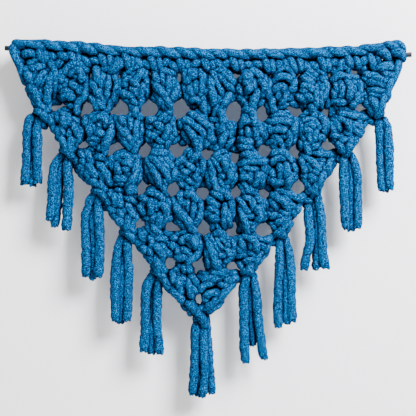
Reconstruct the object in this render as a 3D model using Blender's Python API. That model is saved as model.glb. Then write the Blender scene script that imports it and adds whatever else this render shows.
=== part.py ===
# Triangular crochet wall hanging of thick chenille yarn, worked over a black wooden dowel.
# Six rows of fan-shaped clusters narrow to a point, and tassels hang from the slanting edges.
#
# Frame: origin at the middle of the dowel, +X along it, -Y towards the room, +Z up.
# Lengths are in metres, tables in millimetres.

import math
from collections import namedtuple

import bmesh
import bpy
from mathutils import Vector

MM = 0.001
GAP = 0.3                        # clearance between pieces that touch

# Dowel: 1/4 in thick and 20 in long, bowed by the weight of the cloth
ROD_LENGTH = 508
ROD_RADIUS = 3.175
ROD_DROP = 12.2                  # its middle hangs this far below its ends
ROD_STATIONS = 17
ROD_BEVEL_RESOLUTION = 4         # twelve sides

# Yarn and cloth
YARN_RADIUS = 5.2
PANEL_HALF_DEPTH = 13
FAN_FOOT_REACH = 9               # half width of a fan where its stitches share one space
FAN_OVERLAP = 1.5                # how far fans of one row run into each other
FAN_CLEARANCE = 0.9              # sideways growth that keeps a slanted flank the gap away
FOOT_DIP = 16                    # feet reach this far below the line between two rows
CROWN_DROP = 5                   # crowns stay this far below it, so gaps show above them
TOP_CROWN_DROP = 2               # top crowns end this far below the middle of the dowel

# Outline of a fan seen from above, as shares of its reach and depth: two ridges in front
FAN_OUTLINE = ((1.0, 0.1), (0.6, 0.95), (-0.6, 0.95), (-1.0, 0.1),
               (-0.66, -0.95), (-0.08, -0.66), (0.55, -1.0))

# Sections of a fan, foot to crown: shares of its height, spread and depth
FanSection = namedtuple("FanSection", "height spread depth")
FAN_SECTIONS = (
    FanSection(0.00, 0.00, 0.60),
    FanSection(0.20, 0.20, 0.84),
    FanSection(0.46, 0.92, 1.00),
    FanSection(0.86, 1.00, 0.94),
    FanSection(1.00, 0.62, 0.55),
)

# Rows of the triangle: height of the line below each at its two ends, reach of the end fans,
# and each fan as (middle of its crown, middle of its foot) along the dowel
Row = namedtuple("Row", "left_z right_z end_reach fans")
ROWS = (
    Row(-62, -58, 26, ((-209, -203), (-163, -162), (-128, -128), (-88, -90), (-56, -47), (-18, -5),
                       (15, 10), (55, 53), (97, 85), (131, 131), (172, 172), (213, 213))),
    Row(-111, -106, 19, ((-175, -171), (-137, -131), (-96, -89), (-59, -56), (-21, -8),
                         (23, 17), (54, 54), (95, 92), (131, 123), (173, 173))),
    Row(-160, -157, 19, ((-145, -129), (-102, -95), (-60, -51), (-20, -20),
                         (20, 15), (57, 55), (95, 95), (132, 133))),
    Row(-210, -208, 18, ((-107, -97), (-67, -59), (-22, -17), (18, 18), (53, 52), (97, 93))),
    Row(-258, -256, 18, ((-69, -56), (-22, -21), (19, 15), (62, 53))),
    Row(-311, -310, 19, ((-33, -5), (19, -1))),
)

# Band worked over the dowel: reach above, below and in front of the dowel's middle
BandStation = namedtuple("BandStation", "x above below depth")
BAND_STATIONS = (
    BandStation(-247, 8, 7, 9),
    BandStation(-238, 13, 12, 12),
    BandStation(-215, 14, 10, 12.5),
    BandStation(-150, 15, 8, 12),
    BandStation(-75, 14, 8, 12),
    BandStation(0, 17, 8, 12),
    BandStation(75, 17, 8, 12),
    BandStation(150, 15, 8, 12),
    BandStation(200, 15, 9, 12.5),
    BandStation(228, 20, 10, 14),
    BandStation(240, 17, 10, 13),
    BandStation(247, 12, 8, 10),
)
BAND_STEP = 22                   # longest distance between two of its sections
BAND_SIDES = 8
BAND_BORE_SIDES = 8

# Tassels: where each is knotted on, and where its strands end
Tassel = namedtuple("Tassel", "x z ends")
TASSELS = (
    Tassel(-212, -64, ((-226, -156), (-218, -157), (-210, -153))),
    Tassel(-180, -113, ((-196, -200), (-186, -209), (-174, -212))),
    Tassel(-138, -163, ((-147, -266), (-139, -271), (-132, -268))),
    Tassel(-103, -215, ((-112, -322), (-103, -328), (-94, -326))),
    Tassel(-64, -263, ((-73, -363), (-63, -366), (-53, -360))),
    Tassel(-3, -320, ((-13, -414), (-6, -419), (2, -418), (10, -415))),
    Tassel(57, -263, ((51, -370), (56, -374), (74, -368))),
    Tassel(98, -212, ((95, -328), (103, -326), (112, -321))),
    Tassel(137, -161, ((124, -255), (135, -257), (149, -252))),
    Tassel(178, -109, ((172, -206), (182, -207), (192, -203))),
    Tassel(219, -60, ((215, -154), (224, -157), (232, -153))),
)
KNOT_HALF_SIZE = (11.5, 14.0, 12.5)
KNOT_SEGMENTS = 10
KNOT_RINGS = 5
STRAND_BEVEL_RESOLUTION = 1      # six sides
STRAND_DEPTHS = (-6.0, 5.8)      # strands hang in front and behind by turns
STRAND_SECTIONS = 4
STRAND_FAN_OUT = 0.22            # share of its sideways way that a strand has inside the knot


def clear_scene():
    for item in list(bpy.data.objects):
        bpy.data.objects.remove(item, do_unlink=True)


def make_material(name, colour, roughness):
    material = bpy.data.materials.new(name)
    material.use_nodes = True
    shader = material.node_tree.nodes["Principled BSDF"]
    shader.inputs["Base Color"].default_value = (*colour, 1.0)
    shader.inputs["Roughness"].default_value = roughness
    shader.inputs["Metallic"].default_value = 0.0
    return material


def add_object(name, mesh, material):
    thing = bpy.data.objects.new(name, mesh)
    thing.data.materials.clear()
    thing.data.materials.append(material)
    bpy.context.scene.collection.objects.link(thing)
    return thing


def make_guide(thing):
    """Keep an object as a cutter or guide only."""
    thing.hide_render = True
    thing.display_type = "WIRE"
    return thing


def add_boolean(thing, operation, other):
    modifier = thing.modifiers.new(operation.title(), "BOOLEAN")
    modifier.operation = operation
    modifier.solver = "EXACT"
    if isinstance(other, bpy.types.Collection):
        modifier.operand_type = "COLLECTION"
        modifier.collection = other
    else:
        modifier.object = other


def loft(name, rings):
    """Closed mesh through rings of equal count, each running round +X from +Y to +Z,
    or round +Z from +X to +Y."""
    bm = bmesh.new()
    loops = [[bm.verts.new(Vector(point) * MM) for point in ring] for ring in rings]
    for lower, upper in zip(loops, loops[1:]):
        for i in range(len(lower)):
            j = (i + 1) % len(lower)
            bm.faces.new((lower[i], lower[j], upper[j], upper[i]))
    bm.faces.new(reversed(loops[0]))
    bm.faces.new(loops[-1])
    mesh = bpy.data.meshes.new(name)
    bm.to_mesh(mesh)
    bm.free()
    return mesh


def rod_z(x):
    return ROD_DROP * (2 * x / ROD_LENGTH) ** 2


def make_cord_curve(name, points, radius, bevel_resolution):
    curve = bpy.data.curves.new(name, "CURVE")
    curve.dimensions = "3D"
    curve.bevel_depth = radius * MM
    curve.bevel_resolution = bevel_resolution
    curve.use_fill_caps = True
    spline = curve.splines.new("POLY")
    spline.points.add(len(points) - 1)
    for spline_point, point in zip(spline.points, points):
        spline_point.co = (*(Vector(point) * MM), 1.0)
    return curve


def make_rod(material):
    step = ROD_LENGTH / (ROD_STATIONS - 1)
    stations = [i * step - ROD_LENGTH / 2 for i in range(ROD_STATIONS)]
    points = [(x, 0, rod_z(x)) for x in stations]
    curve = make_cord_curve("rod", points, ROD_RADIUS, ROD_BEVEL_RESOLUTION)
    return add_object("rod", curve, material)


def band_sections():
    """Table rows of the band, with more of them in between where the dowel curves."""
    for start, end in zip(BAND_STATIONS, BAND_STATIONS[1:]):
        count = math.ceil((end.x - start.x) / BAND_STEP)
        for i in range(count):
            share = i / count
            yield BandStation(*(a + (b - a) * share for a, b in zip(start, end)))
    yield BAND_STATIONS[-1]


def band_mesh(name, grow=0.0):
    """Outer form of the band, flatter below the dowel than above it."""
    rings = []
    for station in band_sections():
        ring = []
        for i in range(BAND_SIDES):
            angle = 2 * math.pi * (i + 0.5) / BAND_SIDES
            across, up = math.cos(angle), math.sin(angle)
            reach = station.above if up > 0 else station.below
            ring.append((station.x, across * (station.depth + grow),
                         rod_z(station.x) + up * (reach + grow)))
        rings.append(ring)
    return loft(name, rings)


def bore_mesh(name):
    """Round hole through the band, clear of the dowel by the gap all round."""
    radius = (ROD_RADIUS + GAP) / math.cos(math.pi / BAND_BORE_SIDES)
    stations = [s.x for s in band_sections()]
    stations[0] -= ROD_RADIUS
    stations[-1] += ROD_RADIUS
    rings = []
    for x in stations:
        rings.append([(x, radius * math.cos(2 * math.pi * (i + 0.5) / BAND_BORE_SIDES),
                       rod_z(x) + radius * math.sin(2 * math.pi * (i + 0.5) / BAND_BORE_SIDES))
                      for i in range(BAND_BORE_SIDES)])
    return loft(name, rings)


def make_edging(material):
    edging = add_object("top_edging", band_mesh("top_edging"), material)
    bore = make_guide(add_object("rod_bore", bore_mesh("rod_bore"), material))
    add_boolean(edging, "DIFFERENCE", bore)
    return edging


def row_line(row, x, half_width):
    """Height of the line below a row, which slopes a little from end to end."""
    share = (x + half_width) / (2 * half_width)
    return row.left_z + (row.right_z - row.left_z) * share


def fan_mesh(name, crown, foot, reach_left, reach_right, grow):
    """One cluster of stitches: a foot that opens upwards into a rounded crown."""
    rings = []
    for section in FAN_SECTIONS:
        x = foot.x + (crown.x - foot.x) * section.height
        z = foot.z + (crown.z - foot.z) * section.height
        z += grow * (2 * section.height - 1)
        left = FAN_FOOT_REACH + (reach_left - FAN_FOOT_REACH) * section.spread + grow
        right = FAN_FOOT_REACH + (reach_right - FAN_FOOT_REACH) * section.spread + grow
        depth = PANEL_HALF_DEPTH * section.depth + grow
        rings.append([(x + u * (right if u > 0 else left), v * depth, z) for u, v in FAN_OUTLINE])
    return loft(name, rings)


def panel_fans(grow=0.0):
    """Every fan of the triangle, row by row from the top."""
    for number, row in enumerate(ROWS):
        crowns = [fan[0] for fan in row.fans]
        for i, (crown_x, foot_x) in enumerate(row.fans):
            left = right = row.end_reach
            if i > 0:
                left = (crown_x - crowns[i - 1]) / 2 + FAN_OVERLAP
            if i < len(crowns) - 1:
                right = (crowns[i + 1] - crown_x) / 2 + FAN_OVERLAP
            half_width = crowns[-1]
            if number == 0:
                crown_z = rod_z(crown_x) - TOP_CROWN_DROP
            else:
                crown_z = row_line(ROWS[number - 1], crown_x, half_width) - CROWN_DROP
            foot_z = row_line(row, foot_x, half_width) - FOOT_DIP
            yield fan_mesh("fan", Vector((crown_x, 0, crown_z)), Vector((foot_x, 0, foot_z)),
                           left, right, grow)


def make_fan_union(name, material, grow=0.0):
    """One body of all the fans, joined where they run into each other."""
    others = bpy.data.collections.new(name + "_fans")
    bpy.context.scene.collection.children.link(others)
    body = None
    for mesh in panel_fans(grow):
        if body is None:
            body = add_object(name, mesh, material)
            continue
        fan = bpy.data.objects.new(name + "_fan", mesh)
        mesh.materials.append(material)
        others.objects.link(make_guide(fan))
    add_boolean(body, "UNION", others)
    return body


def make_panel(material):
    panel = make_fan_union("crochet_panel", material)
    clearance = make_guide(add_object("band_clearance", band_mesh("band_clearance", GAP), material))
    add_boolean(panel, "DIFFERENCE", clearance)
    return panel


def strand_points(tassel, number):
    """A strand bends out of the knot and then hangs straight."""
    end_x, end_z = tassel.ends[number]
    depth = STRAND_DEPTHS[number % len(STRAND_DEPTHS)]
    points = []
    for i in range(STRAND_SECTIONS):
        share = i / (STRAND_SECTIONS - 1)
        out = STRAND_FAN_OUT + (1 - STRAND_FAN_OUT) * math.sin(share * math.pi / 2)
        points.append((tassel.x + (end_x - tassel.x) * out, depth, tassel.z + (end_z - tassel.z) * share))
    return points


def knot_mesh(name, tassel):
    bm = bmesh.new()
    bmesh.ops.create_uvsphere(bm, u_segments=KNOT_SEGMENTS, v_segments=KNOT_RINGS, radius=1.0)
    bmesh.ops.scale(bm, verts=bm.verts, vec=Vector(KNOT_HALF_SIZE) * MM)
    bmesh.ops.translate(bm, verts=bm.verts, vec=Vector((tassel.x, 0, tassel.z)) * MM)
    mesh = bpy.data.meshes.new(name)
    bm.to_mesh(mesh)
    bm.free()
    return mesh


def make_tassel(number, tassel, material, panel_clearance):
    """A knot over the edge of the cloth with its cut strands, fused into one body."""
    name = f"tassel_{number:02d}"
    body = add_object(name, knot_mesh(name, tassel), material)
    strands = bpy.data.collections.new(name + "_strands")
    bpy.context.scene.collection.children.link(strands)
    for i in range(len(tassel.ends)):
        curve = make_cord_curve("strand", strand_points(tassel, i), YARN_RADIUS, STRAND_BEVEL_RESOLUTION)
        guide = bpy.data.objects.new("strand_curve", curve)
        mesh = bpy.data.meshes.new_from_object(guide)
        bpy.data.objects.remove(guide)
        mesh.materials.append(material)
        strands.objects.link(make_guide(bpy.data.objects.new(f"{name}_strand", mesh)))
    add_boolean(body, "UNION", strands)
    add_boolean(body, "DIFFERENCE", panel_clearance)
    return body


def main():
    clear_scene()
    wood = make_material("black_painted_wood", (0.012, 0.012, 0.014), 0.45)
    yarn = make_material("teal_chenille_yarn", (0.012, 0.19, 0.42), 0.95)
    make_rod(wood)
    make_edging(yarn)
    make_panel(yarn)
    clearance = make_guide(make_fan_union("panel_clearance", yarn, grow=FAN_CLEARANCE))
    for number, tassel in enumerate(TASSELS, start=1):
        make_tassel(number, tassel, yarn, clearance)


main()
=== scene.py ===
import math

import bpy
import numpy as np
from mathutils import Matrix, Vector, kdtree


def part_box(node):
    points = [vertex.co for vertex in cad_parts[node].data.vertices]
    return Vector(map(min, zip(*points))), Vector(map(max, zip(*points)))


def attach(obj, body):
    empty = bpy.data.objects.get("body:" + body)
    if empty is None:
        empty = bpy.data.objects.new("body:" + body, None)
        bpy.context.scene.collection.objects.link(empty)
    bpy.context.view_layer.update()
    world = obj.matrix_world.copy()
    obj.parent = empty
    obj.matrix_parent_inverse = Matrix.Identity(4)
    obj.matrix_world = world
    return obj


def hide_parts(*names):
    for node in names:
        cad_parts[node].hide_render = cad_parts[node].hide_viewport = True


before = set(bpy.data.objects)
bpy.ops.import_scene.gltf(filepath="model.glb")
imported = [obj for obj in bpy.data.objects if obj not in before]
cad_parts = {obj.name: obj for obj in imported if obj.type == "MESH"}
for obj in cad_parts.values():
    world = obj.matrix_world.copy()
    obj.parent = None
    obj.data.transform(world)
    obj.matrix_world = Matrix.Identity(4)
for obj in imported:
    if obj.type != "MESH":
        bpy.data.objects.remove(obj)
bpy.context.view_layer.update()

mm = 0.001
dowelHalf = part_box("rod")[1].x / mm
dowelDrop = 12.2  # mm from the dowel's middle up to its ends, it bends


def linearColour(hexText):  # sRGB hex to the linear values that nodes take
    parts = [int(hexText[i:i + 2], 16) / 255 for i in (1, 3, 5)]
    return tuple(c / 12.92 if c <= 0.04045 else ((c + 0.055) / 1.055) ** 2.4 for c in parts) + (1.0,)


def addNode(tree, kind, settings=None, links=None):
    node = tree.nodes.new(kind)
    for key, value in (settings or {}).items():
        if key in node.inputs:
            node.inputs[key].default_value = value
        else:
            setattr(node, key, value)
    for key, socket in (links or {}).items():
        tree.links.new(socket, node.inputs[key])
    return node


# camera

view = {
    "lens": 85.0, "sensor": 36.0,  # mm
    "width": 0.52,  # what it takes in at the cloth, in m
    "roll": 0.917,  # degrees
    "aim": (0.0029, -0.1837),
}


def makeCamera():
    data = bpy.data.cameras.new("camera")
    data.lens = view["lens"]
    data.sensor_width = view["sensor"]
    camera = bpy.data.objects.new("camera", data)
    bpy.context.scene.collection.objects.link(camera)
    distance = view["width"] * data.lens / data.sensor_width
    camera.location = (view["aim"][0], -distance, view["aim"][1])
    camera.rotation_euler = (math.pi / 2, -math.radians(view["roll"]), 0)
    bpy.context.scene.camera = camera
    print("camera stands", round(distance, 2), "m away")


# yarn: paths are rows of x, y, z and radius, all in mm, y is negative towards the room

yarn = {
    "step": 3.5,  # distance between the points that are settled
    "ringStep": 2.45,  # distance between the rings of the finished yarn
    "bevelResolution": 4,  # twelve sides
    "squeeze": 0.68,  # strands press into each other where they cross
    "rounds": 70,
    "plump": 1.09,  # settled yarn fills out a little
    "deepest": 16.5,  # how far from the middle of the cloth strands may go
    "tipShares": (0.45, 0.85),  # share of its radius at the last ring and the one before
    "fluff": 0.55,  # height of the chenille's tufts
    "fluffSize": 2.0,
}
settling = {
    "reach": 12.5, "renew": 10,  # neighbours are sought this far round, every ten rounds
    "skip": 4,  # points of one strand this near don't push
    "push": 0.22, "longest": 1.2,  # share of an overlap that a round undoes, longest move
    "homePull": (0.16, 0.02, 0.16),
    "straighten": 0.2, "keepLength": 0.3, "keepOpen": 0.9,
    "shy": (0.82, 1.1),  # some strands lean into a gap
}


def smoothPath(points, step):  # a Catmull-Rom curve through the points
    points = np.asarray(points, dtype=float)
    p = np.vstack([2 * points[0] - points[1], points, 2 * points[-1] - points[-2]])
    t = np.linspace(0, 1, 12, endpoint=False)[:, None]  # twelve fine points to each stretch
    fine = []
    for a, b, c, d in zip(p, p[1:], p[2:], p[3:]):
        fine.append(0.5 * (2 * b + (c - a) * t + (2 * a - 5 * b + 4 * c - d) * t ** 2
                           + (3 * b - a - 3 * c + d) * t ** 3))
    fine = np.vstack(fine + [points[-1:]])
    length = np.concatenate([[0], np.cumsum(np.linalg.norm(np.diff(fine[:, :3], axis=0), axis=1))])
    at = np.linspace(0, length[-1], max(3, int(round(length[-1] / step)) + 1))
    return np.column_stack([np.interp(at, length, fine[:, k]) for k in range(4)])


# the gaps that show the wall: x, z, half the width and half the height, in mm
meshGaps = [
    (182, -12, 5, 4), (-146, -22, 2, 3), (-110, -22, 2, 3), (-36, -23, 3, 4), (36, -18, 5, 4),
    (-189, -62, 5, 4), (-150, -62, 8, 8), (-107, -62, 10, 10), (-72, -62, 11, 10), (-33, -61, 11, 12),
    (33, -64, 10, 13), (67, -66, 7, 11), (110, -63, 6, 5), (147, -63, 4, 3), (189, -56, 5, 5),
    (-153, -108, 6, 4), (-116, -111, 6, 6), (-77, -114, 9, 8), (-36, -114, 8, 8), (0, -117, 7, 7),
    (35, -121, 6, 7), (72, -112, 8, 8), (107, -112, 5, 7), (151, -104, 8, 5),
    (-80, -161, 6, 6), (-41, -161, 8, 9), (-4, -165, 7, 8), (37, -164, 7, 7), (72, -165, 6, 6),
    (114, -157, 8, 9),
    (-82, -205, 6, 5), (-43, -208, 7, 6), (-2, -210, 8, 8), (32, -214, 6, 5), (72, -209, 11, 9),
    (-44, -253, 7, 8), (-9, -255, 8, 6), (33, -255, 7, 5), (-7, -298, 5, 8),
]


def settle(paths, rounds):  # presses the strands apart until they only just bite
    starts = np.cumsum([0] + [len(p) for p in paths])
    joined = np.vstack(paths)
    at, home, radius = joined[:, :3].copy(), joined[:, :3].copy(), joined[:, 3]
    strand = np.concatenate([np.full(len(p), i) for i, p in enumerate(paths)])
    linked = np.flatnonzero(strand[:-1] == strand[1:])
    rest = np.linalg.norm(at[linked + 1] - at[linked], axis=1)[:, None]
    inner = linked[1:][np.diff(linked) == 1]
    shy = np.random.default_rng(2).uniform(*settling["shy"], len(paths))[strand]
    for turn in range(rounds):
        if turn % settling["renew"] == 0:
            tree = kdtree.KDTree(len(at))
            for i, co in enumerate(at):
                tree.insert(co, i)
            tree.balance()
            pairs = [(i, j) for i, co in enumerate(at)
                     for _, j, _ in tree.find_range(co, settling["reach"])
                     if j > i and (j - i > settling["skip"] or strand[i] != strand[j])]
            first, second = np.array(pairs).T
        apart = at[second] - at[first]
        distance = np.linalg.norm(apart, axis=1) + 1e-9
        wanted = (radius[first] + radius[second]) * yarn["squeeze"]
        push = (np.clip(wanted - distance, 0, None) / distance * settling["push"])[:, None] * apart
        move = np.zeros_like(at)
        np.add.at(move, first, -push)
        np.add.at(move, second, push)
        at += np.clip(move, -settling["longest"], settling["longest"])
        at += (home - at) * settling["homePull"]
        at[inner] += (0.5 * (at[inner - 1] + at[inner + 1]) - at[inner]) * settling["straighten"]
        link = at[linked + 1] - at[linked]
        fix = link * (1 - rest / np.linalg.norm(link, axis=1)[:, None]) * settling["keepLength"]
        np.add.at(at, linked, fix)
        np.add.at(at, linked + 1, -fix)
        at[:, 1] = np.clip(at[:, 1], -yarn["deepest"], yarn["deepest"])
        for x, z, halfWidth, halfHeight in meshGaps:
            size = np.column_stack([halfWidth * shy + radius, halfHeight * shy + radius])
            off = (at[:, [0, 2]] - (x, z)) / size
            far = np.linalg.norm(off, axis=1, keepdims=True)
            near = far[:, 0] < 1
            outwards = off * (1 / (far + 1e-6) - 1) * size * settling["keepOpen"]
            at[near[:, None] & [True, False, True]] += outwards[near].ravel()
    moved = np.linalg.norm(at - home, axis=1).mean()
    print("settled", len(at), "points, they moved", round(float(moved), 2), "mm")
    return [np.column_stack([at[a:b], radius[a:b]]) for a, b in zip(starts, starts[1:])]


def makeYarn(name, paths, fluffHeight=yarn["fluff"]):  # round yarn of varying thickness, then its tufts
    curve = bpy.data.curves.new(name, "CURVE")
    curve.dimensions = "3D"
    curve.bevel_depth = mm
    curve.bevel_resolution = yarn["bevelResolution"]
    curve.use_fill_caps = True
    for path in paths:
        fine = smoothPath(path, yarn["ringStep"])
        ends = fine[:, 3].copy()  # rounded off at both ends
        for k, share in enumerate(yarn["tipShares"]):
            ends[[k, -1 - k]] *= share
        spline = curve.splines.new("POLY")
        spline.points.add(len(fine) - 1)
        co = np.column_stack([fine[:, :3] * mm, np.ones(len(fine))]).astype(np.float32)
        spline.points.foreach_set("co", co.ravel())
        spline.points.foreach_set("radius", (ends * yarn["plump"]).astype(np.float32))
        spline.use_smooth = True
    piece = bpy.data.objects.new(name, curve)
    bpy.context.scene.collection.objects.link(piece)
    bpy.ops.object.select_all(action="DESELECT")
    piece.select_set(True)
    bpy.context.view_layer.objects.active = piece
    bpy.ops.object.convert(target="MESH")
    tufts = bpy.data.textures.get("tufts") or bpy.data.textures.new("tufts", "CLOUDS")
    tufts.noise_scale = yarn["fluffSize"] * mm
    fluff = piece.modifiers.new("tufts", "DISPLACE")
    fluff.texture = tufts
    fluff.texture_coords = "LOCAL"
    fluff.strength = fluffHeight * mm
    fluff.mid_level = 0.5
    bpy.ops.object.modifier_apply(modifier="tufts")
    print(name, len(paths), "strands,", len(piece.data.polygons), "faces")
    return piece


def dressPiece(piece, node):  # chenille all over, in place of the plain solid
    piece.data.materials.append(chenille)
    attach(piece, "root")
    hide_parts(node)


def shortLoop(x, z, reach, turn, radius, stations):  # stations: share of reach, depth, share of radius
    dx, dz = reach * math.cos(turn), reach * math.sin(turn)
    return smoothPath([(x + along * dx, depth, z + along * dz, radius * share)
                       for along, depth, share in stations], yarn["step"])


# the triangle, row by row from the top

# line below each row at its two ends, reach of its end fans, their free flanks as width and
# power, and each fan as the middle of its crown, the middle of its foot and its kind, in mm
rowTable = [
    {"leftZ": -62, "rightZ": -58, "endReach": 26, "flanks": ((21, 0.9), (19, 1.0)), "fans": [
        (-209, -203, "leftCorner"), (-163, -162, "swirl"), (-128, -128, "vee"), (-88, -90, "ball"),
        (-56, -47, "vee"), (-18, -5, "hood"), (15, 12, "slant"), (55, 53, "cap"),
        (97, 85, "rings"), (131, 131, "hook"), (172, 172, "lobes"), (213, 213, "rightCorner")]},
    {"leftZ": -111, "rightZ": -106, "endReach": 19, "flanks": ((26, 0.95), (31, 1.1)), "fans": [
        (-175, -171, "leftEdge"), (-137, -131, "swirl"), (-96, -89, "vee"), (-59, -56, "ball"),
        (-21, -8, "slant"), (23, 17, "cap"), (54, 54, "lobes"), (95, 92, "stack"),
        (131, 123, "rings"), (173, 173, "rightEdge")]},
    {"leftZ": -160, "rightZ": -157, "endReach": 19, "flanks": ((28, 1.0), (30, 1.25)), "fans": [
        (-145, -129, "leftEdge"), (-102, -95, "swirl"), (-60, -51, "slant"), (-20, -20, "ball"),
        (20, 15, "arcs"), (57, 55, "stack"), (95, 95, "lobes"), (132, 133, "rightEdge")]},
    {"leftZ": -210, "rightZ": -208, "endReach": 18, "flanks": ((22, 0.95), (30, 1.25)), "fans": [
        (-107, -97, "leftEdge"), (-67, -59, "cap"), (-22, -17, "vee"), (18, 18, "hook"),
        (53, 52, "arcs"), (97, 93, "rightEdge")]},
    {"leftZ": -258, "rightZ": -256, "endReach": 18, "flanks": ((21, 1.0), (29, 1.25)), "fans": [
        (-69, -56, "leftEdge"), (-22, -21, "swirl"), (19, 15, "arcs"), (62, 53, "rightEdge")]},
    {"leftZ": -311, "rightZ": -310, "endReach": 19, "flanks": ((26, 0.5), (29, 0.95)), "fans": [
        (-33, -8, "leftTip"), (19, 0, "rightTip")]},
]
fanShape = {
    "flankAt": 1.5,  # how far across its flank lies
    "overlap": 1.0,  # with the next fan
    "footDip": 4.5,  # a foot's middle below the line between two rows
    "crownDrop": 4.5,
    "topCrownDrop": 13.0,
    "swellLength": 12.0, "swell": 0.12,  # a strand swells and narrows over this length, by this share
    "tuck": 4.0,  # where strand ends hide, past the cloth's middle
    "tuckReach": 0.3, "tuckThin": 0.84,  # an end's share of the last stretch and of the radius
    "outline": [(0.0, 0.0), (0.1, 0.12), (0.2, 0.6), (0.3, 0.95), (0.5, 1.0), (0.72, 1.0), (0.84, 0.75),
                (0.93, 0.45), (1.02, 0.2)],
    "narrowest": 8.0,  # half the width that the outline's zeros stand for
    "footHalf": 4.0,  # the same at the free flank of an end fan
    "give": 0.1,  # strands keep this share of what lies past the outline
    "dome": 6.0, "domeHalf": 1.7,  # a fan bulges towards the room, least at its flanks
    "domeFrom": 3,  # only strands that stand out more than this bulge
    "thin": 0.91,
}
partner = {  # another strand that runs beside a fan's own one
    "share": 0.7, "aside": 5.6, "size": (0.8, 0.8, 0.8, 1), "back": (1.5, 1.0), "thin": 0.92,
}
lump = {  # short loops that fill each fan
    "count": 5, "reach": 5.0, "across": 1.15, "up": (0.12, 0.92), "depth": (-10, -6),
    "radius": (3.7, 4.4), "margin": 6,
}
jitter = {  # spread of a strand's place, its points, depth and radius
    "strand": (0.09, 0.018), "across": 0.05, "up": 0.012, "depth": 0.7, "radius": 0.09,
}

# how the yarn lies in each kind of fan; footAt is where its foot stands, and each strand is its
# radius in mm, how far it stands out towards the room in mm, and its way as (across, up) in
# percent: across runs from -150 to 150 between the fan's flanks, up from the foot to the crown
fanKinds = {}
fanKinds["vee"] = {"footAt": 0.7, "strands": [
    (4.9, 7, [(-60, 90), (30, 95), (100, 93), (145, 84)]),
    (4.6, 6, [(-40, 98), (-90, 97), (-135, 84)]),
    (4.8, 9, [(-110, 92), (-75, 80), (-35, 62)]),
    (5.1, 10, [(-145, 78), (-70, 55), (10, 33), (75, 8)]),
    (4.6, 5, [(-140, 60), (-138, 44), (-115, 28)]),
    (4.7, 8, [(-115, 33), (-60, 16), (10, 2)]),
    (4.8, 9, [(-90, 46), (-30, 22), (55, 2)]),
    (4.5, 8, [(5, 84), (8, 68), (15, 50)]),
    (4.7, 9, [(60, 80), (62, 60), (60, 40), (70, 22)]),
    (5.0, 8, [(130, 82), (132, 58), (115, 34), (85, 12)]),
    (4.3, 7, [(-30, 60), (0, 46), (30, 34)]),
    (4.6, 6, [(100, 30), (90, 12), (70, -6)]),
]}
fanKinds["ball"] = {"footAt": 0.2, "strands": [
    (5.0, 6, [(-130, 76), (-70, 93), (20, 100), (100, 90)]),
    (4.7, 8, [(-130, 66), (-80, 78), (-25, 76)]),
    (4.8, 9, [(0, 66), (40, 82), (85, 92)]),
    (4.9, 8, [(125, 82), (132, 60), (115, 38)]),
    (4.4, 9, [(-110, 62), (-85, 60), (-60, 66)]),
    (4.6, 10, [(-35, 68), (5, 60), (50, 50)]),
    (4.3, 9, [(-50, 52), (-10, 46), (25, 52)]),
    (5.0, 9, [(-142, 50), (-100, 37), (-25, 36)]),
    (4.6, 8, [(75, 62), (68, 44), (45, 28)]),
    (4.7, 6, [(-135, 34), (-100, 18), (-50, 6)]),
    (4.5, 10, [(-25, 32), (5, 24), (35, 20)]),
    (4.6, 7, [(85, 40), (80, 22), (45, 6)]),
    (4.7, 6, [(-45, 20), (-15, 8), (10, -5)]),
    (4.5, 7, [(15, 16), (30, 4), (30, -8)]),
]}
fanKinds["swirl"] = {"footAt": 0.4, "strands": [
    (5.0, 6, [(-130, 62), (-80, 90), (20, 100), (110, 84)]),
    (5.2, 8, [(115, 80), (135, 55), (95, 26), (50, 0)]),
    (4.8, 9, [(-50, 74), (10, 88), (70, 76), (75, 56)]),
    (4.5, 10, [(-10, 70), (20, 74), (45, 64)]),
    (4.4, 10, [(-15, 58), (10, 50), (40, 52)]),
    (5.0, 8, [(-135, 80), (-122, 68), (-105, 56)]),
    (5.0, 10, [(-85, 64), (-62, 50), (-55, 36)]),
    (5.0, 10, [(-85, 30), (-30, 34), (30, 26)]),
    (4.6, 9, [(-5, 44), (45, 42), (80, 34)]),
    (4.7, 7, [(-80, 20), (-30, 12), (20, 8)]),
    (4.8, 8, [(55, 20), (45, 6), (40, -8)]),
]}
fanKinds["hood"] = {"footAt": 0.9, "strands": [
    (5.2, 8, [(-120, 74), (-70, 95), (20, 102), (100, 92)]),
    (5.0, 9, [(-80, 70), (-20, 86), (60, 84)]),
    (5.0, 6, [(-140, 68), (-135, 48), (-110, 30)]),
    (4.9, 7, [(-100, 62), (-95, 44), (-70, 26)]),
    (4.8, 9, [(-45, 66), (-35, 50), (-10, 34)]),
    (4.6, 10, [(0, 72), (15, 58), (5, 46)]),
    (5.4, 11, [(110, 92), (75, 66), (60, 40)]),
    (5.0, 10, [(-30, 30), (30, 30), (80, 20)]),
    (5.2, 9, [(80, 36), (90, 16), (90, -8)]),
    (4.8, 6, [(135, 84), (142, 60), (120, 34)]),
]}
fanKinds["slant"] = {"footAt": 0.2, "strands": [
    (5.2, 8, [(-130, 92), (-40, 100), (60, 95)]),
    (5.2, 10, [(-135, 84), (-70, 60), (-20, 34), (10, 6)]),
    (5.0, 9, [(-90, 88), (-20, 70), (40, 50), (75, 26)]),
    (5.0, 8, [(-30, 90), (50, 78), (110, 58)]),
    (4.8, 7, [(60, 92), (120, 80), (145, 60)]),
    (4.7, 6, [(-140, 66), (-115, 44), (-80, 24)]),
    (4.8, 9, [(-40, 42), (15, 32), (60, 16)]),
    (5.0, 7, [(130, 54), (110, 34), (70, 10)]),
    (4.8, 8, [(20, 20), (30, 6), (40, -8)]),
]}
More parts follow.
